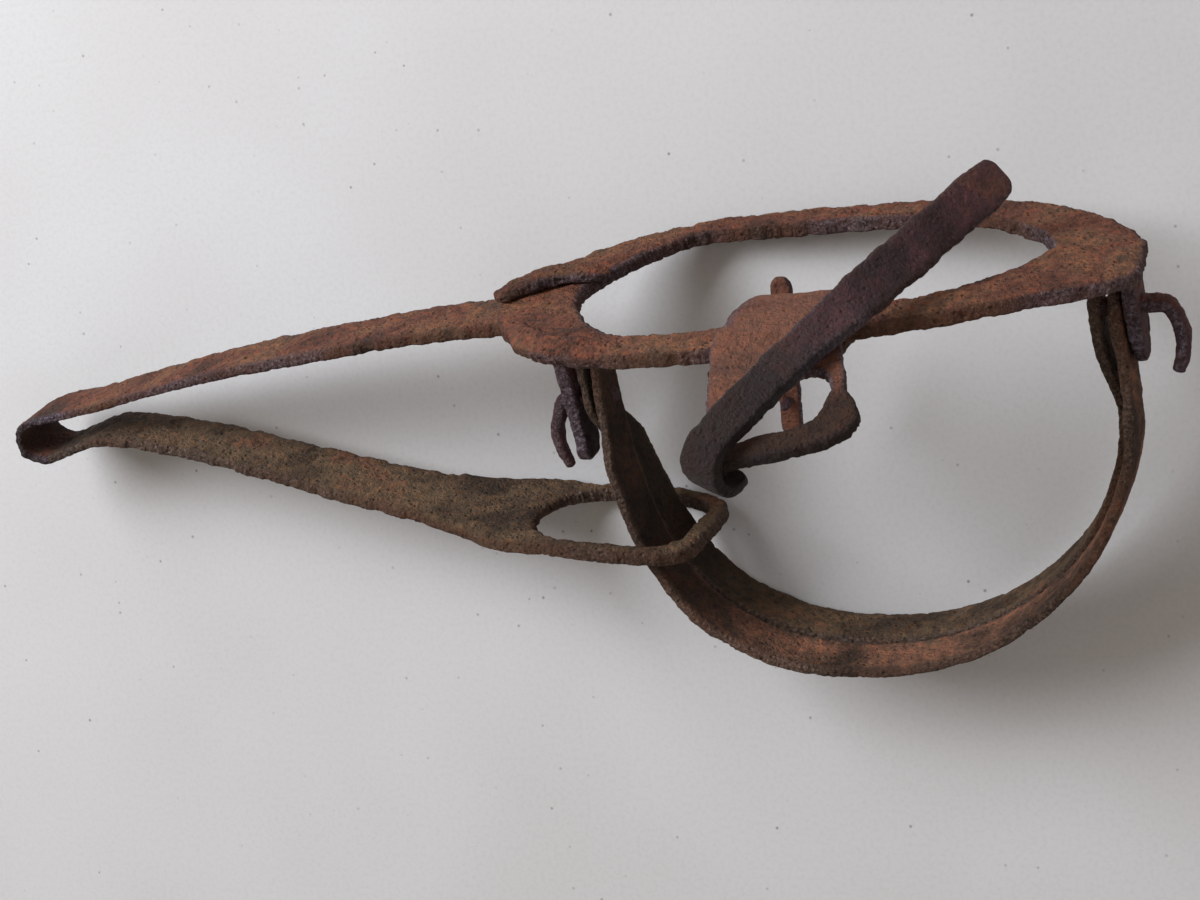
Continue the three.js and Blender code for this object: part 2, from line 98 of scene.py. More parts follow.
def throughPoints(points, count, closed=False):
    # centripetal-like curve through points, sampled evenly along its length
    p = np.asarray(points, float)
    if closed:
        q = np.vstack([p[-2:], p, p[:3]])
    else:
        q = np.vstack([2 * p[0] - p[1], p, 2 * p[-1] - p[-2]])
    first = 2 if closed else 1
    spans = len(p) if closed else len(p) - 1
    fine = []
    for part in range(spans):
        i = part + first
        a, b, c, d = q[i - 1], q[i], q[i + 1], q[i + 2]
        tb = max(np.linalg.norm(b - a), 1e-6) ** 0.5
        tc = tb + max(np.linalg.norm(c - b), 1e-6) ** 0.5
        td = tc + max(np.linalg.norm(d - c), 1e-6) ** 0.5
        t = np.linspace(tb, tc, 40, endpoint=False)[:, None]
        ab = a * (tb - t) / tb + b * t / tb
        bc = b * (tc - t) / (tc - tb) + c * (t - tb) / (tc - tb)
        cd = c * (td - t) / (td - tc) + d * (t - tc) / (td - tc)
        abc = ab * (tc - t) / tc + bc * t / tc
        bcd = bc * (td - t) / (td - tb) + cd * (t - tb) / (td - tb)
        fine.append(abc * (tc - t) / (tc - tb) + bcd * (t - tb) / (tc - tb))
    fine = np.vstack(fine + [p[:1] if closed else p[-1:]])
    steps = np.r_[0, np.cumsum(np.linalg.norm(np.diff(fine, axis=0), axis=1))]
    at = np.linspace(0, steps[-1], count, endpoint=not closed)
    return np.stack([np.interp(at, steps, fine[:, k]) for k in range(fine.shape[1])], axis=1)


def alongCurve(values, count):
    # values at even stations, eased between
    v = np.asarray(values, float)
    at = np.linspace(0, len(v) - 1, count)
    i = np.clip(at.astype(int), 0, len(v) - 2)
    f = at - i
    f = f * f * (3 - 2 * f)
    return v[i] * (1 - f) + v[i + 1] * f


def rounded(angles, sharp):
    # superellipse of width and thickness 1: the larger sharp is, the squarer its corners
    c, s = np.cos(angles), np.sin(angles)
    r = (np.abs(c) ** sharp + np.abs(s) ** sharp) ** (-1 / sharp)
    return c * r / 2, s * r / 2


def ringSamples(width, thick, count, sharp):
    # points of a rounded section, spaced evenly along its edge at this width and thickness
    a = np.linspace(0, 2 * np.pi, 720, endpoint=False)
    x, y = rounded(a, sharp)
    p = np.stack([x * width, y * thick], 1)
    d = np.r_[0, np.cumsum(np.linalg.norm(np.diff(np.vstack([p, p[:1]]), axis=0), axis=1))]
    at = np.linspace(0, d[-1], count, endpoint=False)
    return rounded(np.interp(at, d, np.r_[a, 2 * np.pi]), sharp)


# meshes
def gridFaces(rows, columns, closedRows):
    # quads of a grid whose columns wrap round, rows wrapping too if closed
    r = np.arange(rows if closedRows else rows - 1)
    c = np.arange(columns)
    rr, cc = np.meshgrid(r, c, indexing="ij")
    a = rr * columns + cc
    b = rr * columns + (cc + 1) % columns
    d = ((rr + 1) % rows) * columns + cc
    e = ((rr + 1) % rows) * columns + (cc + 1) % columns
    return np.stack([a, b, e, d], -1).reshape(-1, 4)


def meshPiece(name, grid, closedRows, body, nodes, edge, material, flip=False, second=None,
              shadeAndGrime=None):
    # grid is rows x columns x 3 in trap mm; open ends are closed by drawn-in caps
    rows, columns = grid.shape[:2]
    points = grid.reshape(-1, 3)
    faces = gridFaces(rows, columns, closedRows)
    edges = edge.reshape(-1)
    if not closedRows:
        extraPoints, extraFaces, extraEdges = [], [], []
        start = len(points)
        for end in (0, rows - 1):
            middle = grid[end].mean(axis=0)
            ring = end * columns + np.arange(columns)
            hub = start + len(extraPoints)
            extraPoints.append(middle)
            extraEdges.append(0.7)
            n = np.roll(ring, -1)
            tri = np.stack([ring, n, np.full(columns, hub)], 1)
            extraFaces.append(tri[:, ::-1] if end == 0 else tri)
        points = np.vstack([points, extraPoints])
        edges = np.r_[edges, extraEdges]
        triangles = np.vstack(extraFaces)
    else:
        triangles = np.zeros((0, 3), int)
    if flip:
        faces, triangles = faces[:, ::-1], triangles[:, ::-1]
    place = toTable(points)
    total = len(faces) * 4 + len(triangles) * 3
    mesh = bpy.data.meshes.new(name)
    mesh.vertices.add(len(place))
    mesh.vertices.foreach_set("co", place.astype(np.float32).ravel())
    mesh.loops.add(total)
    mesh.loops.foreach_set("vertex_index", np.r_[faces.ravel(), triangles.ravel()].astype(np.int32))
    mesh.polygons.add(len(faces) + len(triangles))
    starts = np.r_[np.arange(len(faces)) * 4, len(faces) * 4 + np.arange(len(triangles)) * 3]
    mesh.polygons.foreach_set("loop_start", starts.astype(np.int32))
    mesh.polygons.foreach_set("use_smooth", np.ones(len(faces) + len(triangles), bool))
    mesh.update(calc_edges=True)
    # a share per point near a section's edges, where rubbed wear and a painted edge highlight and shade go
    wear = mesh.attributes.new("edgeWearAndHighlight", "FLOAT", "POINT")
    wear.data.foreach_set("value", edges.astype(np.float32))
    # painted shade, with some grime: a share per point that darkens the finish towards near black
    if shadeAndGrime is not None:
        dark = mesh.attributes.new("shadeAndGrime", "FLOAT", "POINT")
        spread = np.asarray(shadeAndGrime, np.float32)
        spread = spread.ravel() if spread.ndim == 2 else np.repeat(spread, columns)
        dark.data.foreach_set("value", np.r_[spread, np.zeros(len(place) - len(spread), np.float32)])
    mesh.materials.append(material)
    if second:
        # a second finish from this row of the grid on
        mesh.materials.append(second[0])
        chosen = np.zeros(len(faces) + len(triangles), np.int32)
        chosen[second[1] * columns:len(faces)] = 1
        mesh.polygons.foreach_set("material_index", chosen)
    piece = bpy.data.objects.new(name, mesh)
    bpy.context.scene.collection.objects.link(piece)
    if body:
        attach(piece, body)
    if nodes:
        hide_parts(*nodes)
    return piece


def rustyRelief(grid, normals, rough, seed, depth=None):
    # pushes a surface in and out: hammered hollows, scale and sharp pits
    hollows = fractal(grid, 9.0, seed, 2) * rough["hollow"]
    scale = fractal(grid, 1.7, seed + 11, 4, 0.65) * rough["scale"] * 1.7
    pit = fractal(grid, 1.5, seed + 23, 3, 0.6)
    pits = -np.clip(pit - 0.18, 0, None) * rough["pit"] * 1.4
    push = hollows + scale + pits
    if depth is not None:
        push = push * depth
    return grid + normals * push[..., None]


def gridNormals(grid, closedRows):
    # cross product of the two directions of the grid, pointing out of the section
    along = np.roll(grid, -1, 0) - np.roll(grid, 1, 0)
    if not closedRows:
        along[0] = grid[1] - grid[0]
        along[-1] = grid[-1] - grid[-2]
    across = np.roll(grid, -1, 1) - np.roll(grid, 1, 1)
    n = np.cross(across, along)
    length = np.linalg.norm(n, axis=-1, keepdims=True)
    n = n / np.maximum(length, 1e-9)
    middle = grid.mean(axis=1, keepdims=True)
    if np.sum((grid - middle) * n) < 0:
        n = -n
    return n


def outwardFlip(grid, closedRows):
    # whether the grid's faces, in row and column order, point into the section
    along = np.roll(grid, -1, 0) - grid
    across = np.roll(grid, -1, 1) - grid
    n = np.cross(across, along)
    middle = grid.mean(axis=1, keepdims=True)
    inner = slice(1, -1) if not closedRows else slice(None)
    return np.sum(((grid - middle) * n)[inner]) < 0


def sweepStrip(path, side, width, thick, columns, sharp, offset=None):
    # a flat section carried along a path: side is the direction of its width at each station
    tangent = np.gradient(path, axis=0)
    tangent /= np.maximum(np.linalg.norm(tangent, axis=1, keepdims=True), 1e-9)
    side = side - (side * tangent).sum(1, keepdims=True) * tangent
    side /= np.linalg.norm(side, axis=1, keepdims=True)
    up = np.cross(tangent, side)
    x, y = ringSamples(float(np.mean(width)), float(np.mean(thick)), columns, sharp)
    middle = path if offset is None else path + side * offset[:, None]
    grid = middle[:, None, :] + side[:, None, :] * (x[None, :] * width[:, None])[..., None]
    grid = grid + up[:, None, :] * (y[None, :] * thick[:, None])[..., None]
    edge = np.broadcast_to(smooth(np.abs(x) * 2, 0.72, 1.0)[None, :], grid.shape[:2]).copy()
    return grid, edge


def raggedEdges(count, length, size, seed):
    # how far each edge of a strip wanders along its length, in mm, left and right
    s = np.linspace(0, length, count)
    z = np.zeros(count)
    left = fractal(np.stack([s, z, z], 1), size, seed, 4, 0.6)
    right = fractal(np.stack([s, z + 50, z], 1), size, seed + 5, 4, 0.6)
    return left, right


def roundEnds(count, length, start, end):
    # width share that rounds a strip off at its ends, over these lengths in mm
    s = np.linspace(0, length, count)
    share = np.ones(count)
    if start:
        share = share * np.sqrt(np.clip(1 - np.clip(1 - s / start, 0, 1) ** 2.2, 0.02, 1))
    if end:
        share = share * np.sqrt(np.clip(1 - np.clip(1 - (length - s) / end, 0, 1) ** 2.2, 0.02, 1))
    return share


# materials
def linear(hexColour):
    # sRGB hex to linear RGBA
    v = np.array([int(hexColour[i:i + 2], 16) for i in (1, 3, 5)]) / 255
    v = np.where(v <= 0.04045, v / 12.92, ((v + 0.055) / 1.055) ** 2.4)
    return (*v.tolist(), 1.0)


def perMetre(mm):
    # texture scale that gives a pattern this many mm across
    return 1000 / mm


def addNode(tree, kind, inputs=None, stops=None, **settings):
    # one node: settings are its properties, inputs gives each input a socket, a number or a hex colour,
    # and stops are the places and colours of a colour ramp
    node = tree.nodes.new(kind)
    for key, value in settings.items():
        setattr(node, key, value)
    for key, source in (inputs or {}).items():
        if isinstance(source, bpy.types.NodeSocket):
            tree.links.new(source, node.inputs[key])
        else:
            node.inputs[key].default_value = linear(source) if isinstance(source, str) else source
    if stops:
        bar = node.color_ramp
        while len(bar.elements) < len(stops):
            bar.elements.new(0.5)
        for element, (place, colour) in zip(bar.elements, stops):
            element.position = place
            element.color = linear(colour) if isinstance(colour, str) else (colour, colour, colour, 1)
    return node


def emptyMaterial(name):
    # a material with no nodes, and where its patterns are placed
    material = bpy.data.materials.new(name)
    material.use_nodes = True
    tree = material.node_tree
    tree.nodes.clear()
    return material, tree, addNode(tree, "ShaderNodeTexCoord").outputs["Object"]


def rustedIron(name, look):
    # Wrought iron left to rust for decades: flaky orange and brown iron oxide in patches,
    # pits eaten into it, and darker purple-grey scale where edges are rubbed, with painted highlight and
    # shade there, and painted shade, with some grime, wherever the shadeAndGrime attribute is set.
    material, tree, place = emptyMaterial(name)
    rgba = {"data_type": "RGBA"}
    patches = addNode(tree, "ShaderNodeTexNoise",
                      {"Vector": place, "Scale": perMetre(look["patch"]), "Detail": 5.0, "Roughness": 0.62,
                       "Distortion": 0.4}).outputs["Fac"]
    drift = addNode(tree, "ShaderNodeTexNoise",
                    {"Vector": place, "Scale": perMetre(look["drift"]), "Detail": 2.0}).outputs["Fac"]
    mottle = addNode(tree, "ShaderNodeTexNoise",
                     {"Vector": place, "Scale": perMetre(look["mottle"]), "Detail": 6.0,
                      "Roughness": 0.7}).outputs["Fac"]
    grain = addNode(tree, "ShaderNodeTexNoise",
                    {"Vector": place, "Scale": perMetre(look["grain"]), "Detail": 3.0,
                     "Roughness": 0.75}).outputs["Fac"]
    pits = addNode(tree, "ShaderNodeTexVoronoi", {"Vector": place, "Scale": perMetre(look["pit"])},
                   feature="F1").outputs["Distance"]
    # oxide in patches, mottled, with pale dust on its grains and dark pits
    oxide = addNode(tree, "ShaderNodeValToRGB", {"Fac": patches}, look["oxide"]).outputs["Color"]
    speckle = addNode(tree, "ShaderNodeValToRGB", {"Fac": mottle}, look["speckle"]).outputs["Color"]
    body = addNode(tree, "ShaderNodeMix", {0: look["speckled"], 6: oxide, 7: speckle}, blend_type="OVERLAY",
                   **rgba).outputs[2]
    pale = addNode(tree, "ShaderNodeMapRange",
                   {"Value": grain, 1: 0.6, 2: 0.8, 3: 0.0, 4: look["dust"]}).outputs[0]
    body = addNode(tree, "ShaderNodeMix", {0: pale, 6: body, 7: look["dustColour"]}, **rgba).outputs[2]
    hole = addNode(tree, "ShaderNodeMapRange",
                   {"Value": pits, 1: 0.05, 2: 0.32, 3: look["pitted"], 4: 0.0}).outputs[0]
    patchy = addNode(tree, "ShaderNodeMath", {0: hole, 1: mottle}, operation="MULTIPLY").outputs[0]
    body = addNode(tree, "ShaderNodeMix", {0: patchy, 6: body, 7: look["pitColour"]}, **rgba).outputs[2]
    # edges rubbed in places: brown there, or purple-grey scale with a painted highlight and painted shade
    wear = addNode(tree, "ShaderNodeAttribute", attribute_name="edgeWearAndHighlight").outputs["Fac"]
    broken = addNode(tree, "ShaderNodeMapRange",
                     {"Value": mottle, 1: 0.36, 2: 0.54, 3: 0.6, 4: 1.0}).outputs[0]
    rubbed = addNode(tree, "ShaderNodeMath", {0: wear, 1: broken}, operation="MULTIPLY").outputs[0]
    somewhere = addNode(tree, "ShaderNodeMapRange", {"Value": drift, 1: 0.4, 2: 0.6, 3: look["edge"] * 0.75,
                                                     4: look["edge"]}).outputs[0]
    rubbedAndHighlightedEdge = addNode(tree, "ShaderNodeMath", {0: rubbed, 1: somewhere}, operation="MULTIPLY").outputs[0]
    brown = addNode(tree, "ShaderNodeValToRGB", {"Fac": grain}, look["edgeBrowns"]).outputs["Color"]
    scale = addNode(tree, "ShaderNodeValToRGB", {"Fac": grain}, look["edgeScaleAndHighlightTones"]).outputs["Color"]
    scaled = addNode(tree, "ShaderNodeValToRGB", {"Fac": drift}, [(0.44, 0.0), (0.6, 1.0)]).outputs["Color"]
    edgeTone = addNode(tree, "ShaderNodeMix", {0: scaled, 6: brown, 7: scale}, **rgba).outputs[2]
    colour = addNode(tree, "ShaderNodeMix", {0: rubbedAndHighlightedEdge, 6: body, 7: edgeTone}, **rgba).outputs[2]
    # painted shade, with some grime: the shadeAndGrime attribute pulls the colour towards near black
    shadeAndGrime = addNode(tree, "ShaderNodeAttribute", attribute_name="shadeAndGrime").outputs["Fac"]
    colour = addNode(tree, "ShaderNodeMix", {0: shadeAndGrime, 6: colour, 7: look["shadeAndGrimeColour"]}, **rgba).outputs[2]
    rough = addNode(tree, "ShaderNodeMapRange", {"Value": mottle, 1: 0.3, 2: 0.7, 3: look["smoothest"],
                                                 4: look["roughest"]}).outputs[0]
    # mottled flakes and grains stand up, pits go down
    height = addNode(tree, "ShaderNodeMath", {0: mottle, 1: 0.9}, operation="MULTIPLY").outputs[0]
    height = addNode(tree, "ShaderNodeMath", {0: grain, 1: 0.7, 2: height},
                     operation="MULTIPLY_ADD").outputs[0]
    height = addNode(tree, "ShaderNodeMath", {0: height, 1: patchy}, operation="SUBTRACT").outputs[0]
    bump = addNode(tree, "ShaderNodeBump",
                   {"Height": height, "Strength": look["bump"], "Distance": 0.0018}).outputs[0]
    shader = addNode(tree, "ShaderNodeBsdfPrincipled",
                     {"Base Color": colour, "Roughness": rough, "Normal": bump,
                      "Specular IOR Level": look["shine"]}).outputs[0]
    addNode(tree, "ShaderNodeOutputMaterial", {"Surface": shader})
    return material


# rubbed-edge tones: real purple-grey scale, with a painted highlight at their pale end and painted shade at
# their dark end
edgeScaleAndHighlightGreys = [(0.34, "#2c2227"), (0.5, "#4f4550"), (0.64, "#847c8c")]
edgeBrowns = [(0.34, "#1c1412"), (0.5, "#3f2f28"), (0.66, "#644b3f")]
orangeLook = {"drift": 26, "patch": 15, "mottle": 1.5, "grain": 0.6, "pit": 1.3,
              "oxide": [(0.34, "#5c3f34"), (0.46, "#965e4b"), (0.56, "#a57558"), (0.68, "#775a4a")],
              "speckle": [(0.36, "#453831"), (0.5, "#808080"), (0.62, "#ad998b")],
              "speckled": 0.75, "dust": 0.45, "dustColour": "#9a8372", "pitted": 0.9, "pitColour": "#21150f",
              "edge": 0.85, "edgeScaleAndHighlightTones": edgeScaleAndHighlightGreys, "edgeBrowns": edgeBrowns, "shadeAndGrimeColour": "#15100d",
              "smoothest": 0.7, "roughest": 0.95, "bump": 0.9, "shine": 0.3}
oliveLook = dict(orangeLook, oxide=[(0.36, "#4d3c30"), (0.45, "#745c47"), (0.55, "#8f765c"),
                                    (0.64, "#996e55")],
                dust=0.5, dustColour="#84765f", edge=0.9,
                edgeBrowns=[(0.34, "#2a1c16"), (0.5, "#573a2e"), (0.66, "#6e4c3c")],
                edgeScaleAndHighlightTones=[(0.34, "#2c221d"), (0.5, "#54443e"), (0.64, "#7a685f")])
darkLook = dict(orangeLook, oxide=[(0.36, "#361f24"), (0.46, "#513239"), (0.56, "#6a444c"),
                                   (0.66, "#7a4f44")],
                speckled=0.6, dust=0.3, dustColour="#6d5860", pitted=0.6, smoothest=0.58, roughest=0.85,
                shine=0.35,
                bump=0.8)
tongueLook = dict(orangeLook, oxide=[(0.36, "#634037"), (0.46, "#8f5e4e"), (0.58, "#996753"),
                                     (0.72, "#634a43")],
                  speckled=0.5, pitted=0.5)
jawLook = dict(orangeLook, oxide=[(0.36, "#573f30"), (0.45, "#8a6653"), (0.55, "#c0876b"), (0.64, "#89735c")],
               edgeScaleAndHighlightTones=[(0.34, "#2c221d"), (0.5, "#594840"), (0.64, "#836e62")])
orangeIron = rustedIron("wroughtIronOrangeRust", orangeLook)
oliveIron = rustedIron("wroughtIronOliveRust", oliveLook)
darkIron = rustedIron("wroughtIronDarkScale", darkLook)
tongueIron = rustedIron("wroughtIronBrownRust", tongueLook)
jawIron = rustedIron("wroughtIronJawRust", jawLook)
print("materials made")

# base frame: an oval ring, wide and flat at the right end
oval = {"length": 98.5, "width": 56.0, "shift": -1.2, "rail": 6.4, "thick": 2.6,
        "far": [0.22, 0.7, 0.9, 0.942, 0.94, 0.9, 0.8, 0.58, 0.05],
        "near": [0.3, 0.83, 0.99, 1.03, 0.975, 0.85, 0.74, 0.6, 0.43],
        "rough": {"hollow": 0.16, "scale": 0.16, "pit": 0.5}, "ragged": 0.65}


def ovalOutlines(count):
    # outer and inner outline of the ring as closed curves with matching starts, in x and y
    left, right = oval["shift"] - oval["length"] / 2, oval["shift"] + oval["length"] / 2
    x = left + (right - left) * np.arange(9) / 8
    half = oval["width"] / 2
    far = np.stack([x, -half * np.array(oval["far"])], 1)
    near = np.stack([x, half * np.array(oval["near"])], 1)
    outer = throughPoints(np.vstack([far, near[::-1]]), 2400, True)
    rail = oval["rail"]
    inner = [[x[i] - 1, -half * oval["far"][i] + rail] for i in range(2, 7)]
    inner += [[right - 2 * rail, -1]]
    inner += [[x[i] - 1, half * oval["near"][i] - rail * 1.22] for i in range(6, 1, -1)]
    inner += [[left + 1.85 * rail, 1]]
    inner = throughPoints(np.array(inner), 2400, True)
    centre = np.array([oval["shift"] - 2, 0.0])

    def byAngle(curve):
        d = (curve - centre) * np.array([0.62, 1.0])
        a = np.unwrap(np.arctan2(d[:, 1], d[:, 0]))
        if a[-1] < a[0]:
            a, curve = a[::-1], curve[::-1]
        want = np.linspace(-np.pi, np.pi, count, endpoint=False)
        period = np.r_[a - 2 * np.pi, a, a + 2 * np.pi]
        return np.stack([np.interp(want, period, np.tile(curve[:, k], 3)) for k in range(2)], 1)

    return byAngle(outer), byAngle(inner)


def ringPiece(name, outer, inner, low, thick, columns, sharp, rough, seed, ragged, height=None):
    # a flat section from the inner to the outer outline at every angle round the ring
    count = len(outer)
    x, y = ringSamples(9.0, thick, columns, sharp)
    closed = np.stack([outer[:, 0], outer[:, 1], np.zeros(count)], 1)
    chip = fractal(closed, 2.2, seed + 40, 4, 0.7) * ragged * 1.3
    chipIn = fractal(closed * [1, 1, 0] + [0, 0, 30], 2.2, seed + 41, 4, 0.7) * ragged * 1.3
    span = outer - inner
    wide = np.linalg.norm(span, axis=1, keepdims=True)
    outward = span / wide
    outerEdge = outer + outward * chip[:, None]
    innerEdge = inner + outward * chipIn[:, None]
    share = x + 0.5
    plan = innerEdge[:, None, :] * (1 - share)[None, :, None] + outerEdge[:, None, :] * share[None, :, None]
    z = low + thick / 2 + y[None, :] * thick * np.ones((count, 1))
    if height is not None:
        z = z + height(plan[..., 0], plan[..., 1])
    grid = np.concatenate([plan, z[..., None]], -1)
    grid = rustyRelief(grid, gridNormals(grid, True), rough, seed)
    fromEdge = (0.5 - np.abs(x))[None, :] * wide
    edge = 1 - smooth(fromEdge, 0.15, 0.9)
    return grid, edge


outer, inner = ovalOutlines(1100)
grid, edge = ringPiece("ovalFrame", outer, inner, 0, oval["thick"], 76, 7.0, oval["rough"], 3, oval["ragged"])
meshPiece("ovalFrame", grid, True, "frame", ["base_frame"], edge, orangeIron,
          outwardFlip(grid, True))
print("oval frame made")


# forged strips
def strip(name, points, width, thick, body, nodes, material, seed, side=(0, 1, 0), count=500,
          columns=64,
          sharp=7.0, offset=None, rough=None, ragged=0.35, ends=(1.5, 1.5), wander=3.0, second=None,
          shadeAndGrime=None):
    # a flat bar carried along its path, its edges wandering and its faces scaled and pitted
    path = throughPoints(points, count)
    length = float(np.linalg.norm(np.diff(path, axis=0), axis=1).sum())
    w = alongCurve(width, count) if np.ndim(width) else np.full(count, float(width))
    t = alongCurve(thick, count) if np.ndim(thick) else np.full(count, float(thick))
    left, right = raggedEdges(count, length, wander, seed)
    rounding = roundEnds(count, length, *ends)
    shift = (right + left) * ragged / 2
    if offset is not None:
        shift = shift + alongCurve(offset, count)
    w = (w + (right - left) * ragged) * rounding
    t = t * np.clip(rounding * 1.3, 0, 1)
    direction = np.tile(np.array(side, float), (count, 1)) if np.ndim(side) == 1 else \
        np.stack([alongCurve(np.array(side)[:, k], count) for k in range(3)], 1)
    grid, edge = sweepStrip(path, direction, w, t, columns, sharp, shift)
    rough = rough or {"hollow": 0.12, "scale": 0.14, "pit": 0.4}
    depth = np.clip(rounding, 0, 1)[:, None] * np.ones((1, columns))
    grid = rustyRelief(grid, gridNormals(grid, False), rough, seed, depth)
    return meshPiece(name, grid, False, body, nodes, edge, material, outwardFlip(grid, False), second,
                     shadeAndGrime)


# spring: a tapered strip folded into a bow, its free end an eye round the jaws
bow = {"reach": 157.0, "height": 19.8, "radius": 3.7, "thick": 1.5, "base": -46.8}
bowX = -bow["reach"] + bow["radius"] + bow["thick"] / 2
springPath = [(bow["base"], 4.2), (-56.5, 4.35), (-70, 4.9), (-88, 6.6), (-108, 8.8), (-127, 12),
              (-142, 14.6),
              (bowX, bow["height"] - bow["radius"]), (bowX - 2.9, bow["height"] - 2.4),
              (bowX - bow["radius"], bow["height"]), (bowX - 2.9, bow["height"] + 2.4),
              (bowX + 0.5, bow["height"] + bow["radius"]), (-145.5, 21.9), (-139.5, 20.4), (-133, 20.8),
              (-120, 23.6), (-102, 28.9), (-90, 32.3), (-78, 35.5), (-70, 37.6), (-64, 38.9)]
springWidths = [11.6, 12, 12.2, 12, 12, 11.6, 11.4, 11.4, 11.6, 11.8, 11.8, 12, 12.4, 13.2, 14.4, 16.4]
springThicks = [2.5, 2.5, 2.3, 2.2, 2.0, 1.8, 1.6, 1.5, 1.5, 1.6, 1.8, 2.0, 2.1, 2.1, 2.1, 2.1]
springOffsets = [0, 0, 0, 0, 0, 0, 0, 0, 0, 0, 0.1, 0.2, 0.4, 0.8, 1.3, 1.8]
# painted shade blackens the bow's turn, whose inside lies in deep shadow
spring = strip("bowSpring", [(x, 0, z) for x, z in springPath], springWidths, springThicks, None,
               ["spring_fixed_arm"], orangeIron, 21, count=1050, columns=72,
               offset=springOffsets, ragged=0.75, wander=2.0, ends=(1.0, 2.0),
               shadeAndGrime=0.75 * np.exp(-((np.linspace(0, 1, 1050) - 0.54) / 0.035) ** 2), second=(oliveIron, 600),
               rough={"hollow": 0.14, "scale": 0.15, "pit": 0.42})
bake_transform(spring)

eye = {"middle": -42.2, "inside": 22.6, "long": 27.4, "wall": 2.9, "side": 2.3, "thick": 2.7}


def eyeOutline(extra, count):
    # drawn out towards the bow and cornered at the other end
    a = np.linspace(-np.pi, np.pi, count, endpoint=False)
    c, s = np.cos(a), np.sin(a)
    square = np.where(c > 0, 0.36, 0.95)
    reach = np.where(c > 0, 0.8, 1.0)
    return np.stack([eye["middle"] + np.sign(c) * np.abs(c) ** reach * (eye["long"] / 2 + extra),
                     eye["side"] + np.sign(s) * np.abs(s) ** square * (eye["inside"] / 2 + extra)], 1)


def eyeHeight(x, y):
    # the arm rises along x, and the eye is bent up at its far end and down at its far side
    rising = np.interp(x, [-82, -70, -64, -56, -42, -24], [34.4, 37.6, 38.9, 39.8, 41.1, 43.9])
    return rising - 0.12 * (y - eye["side"]) * smooth(x, -66, -44)


def armEnd(count):
    # the widening end of the arm and the eye's outer edge as one outline round the eye's middle
    eyeSide = eyeOutline(eye["wall"], 720)
    around = eyeSide[eyeSide[:, 0] > -50]
    neck = [(-57, 14.0), (-63, 12.1), (-69, 10.0), (-74, 8.9), (-76, 6.0), (-76.5, 0.8), (-76, -4.6),
            (-74, -6.9),
            (-69, -7.3), (-63, -8.6), (-57, -10.2)]
    order = np.argsort(np.arctan2(around[:, 1] - eye["side"], around[:, 0] + 47))
    curve = throughPoints(np.vstack([around[order][::12], neck]), 2000, True)
    centre = np.array([eye["middle"] - 3, eye["side"]])

    def seen(points):
        d = points - centre
        a, r = np.arctan2(d[:, 1], d[:, 0]), np.linalg.norm(d, axis=1)
        order = np.argsort(a)
        a, r = a[order], r[order]
        want = np.linspace(-np.pi, np.pi, count, endpoint=False)
        radius = np.interp(want, np.r_[a - 2 * np.pi, a, a + 2 * np.pi], np.tile(r, 3))
        return centre + np.stack([np.cos(want), np.sin(want)], 1) * radius[:, None]

    return seen(curve), seen(throughPoints(eyeOutline(0, 160), 2000, True))


eyeOuter, eyeInner = armEnd(900)
grid, edge = ringPiece("springEye", eyeOuter, eyeInner, -eye["thick"] / 2, eye["thick"], 60, 4.0,
                       {"hollow": 0.12, "scale": 0.18, "pit": 0.45}, 31, 0.4, eyeHeight)
meshPiece("springEye", grid, True, "spring_arm", ["spring_moving_arm"], edge,
          oliveIron, outwardFlip(grid, True))
print("spring made")

# posts
strip("leftPost", [(-44.8, 0.3, 2.2), (-45.0, 0.1, 12), (-45.0, -0.2, 22), (-45.1, 0, 30.4)],
      [6.6, 6.0, 5.8, 5.6], 2.4, "frame", ["left_post"], darkIron, 41,
      count=220, columns=56, ends=(0.6, 2.8))
strip("rightPost", [(45.9, 0, 2.2), (45.9, 0, 8), (46.0, 0, 12), (46.2, 0, 18.4)],
      [8.4, 7.8, 7.0, 3.6], [2.4, 2.2, 2.2, 1.6], "frame", ["right_post"], darkIron,
      43, count=180, columns=56, ends=(0.6, 1.6))

# folded lugs that clasp the spring's end on the frame
strip("springLugNear", [(-46.9, 4.6, 7.2), (-46.9, 7.4, 7.0), (-46.9, 8.9, 5.2), (-46.9, 8.3, 2.9),
                        (-46.9, 5.6, 1.6)],
      [3.2, 3.9, 4.2, 4.2, 3.6], [1.4, 2.0, 2.3, 2.2, 1.6], "frame", ["spring_clasp_near"],
      darkIron, 47, side=(1, 0, 0), count=200, columns=56, ends=(1.2, 1.2), sharp=4.0)
strip("springLugFar", [(-46.6, -3.8, 7.4), (-46.7, -7.2, 7.4), (-46.9, -9.4, 5.4), (-46.9, -9.2, 2.9),
                       (-46.9, -7.0, 1.4)],
      [3.4, 4.2, 4.4, 4.2, 3.6], [1.6, 2.2, 2.6, 2.3, 1.6], "frame", ["spring_clasp_far"],
      darkIron, 49, side=(1, 0, 0), count=200, columns=56, ends=(1.2, 1.2), sharp=4.0)
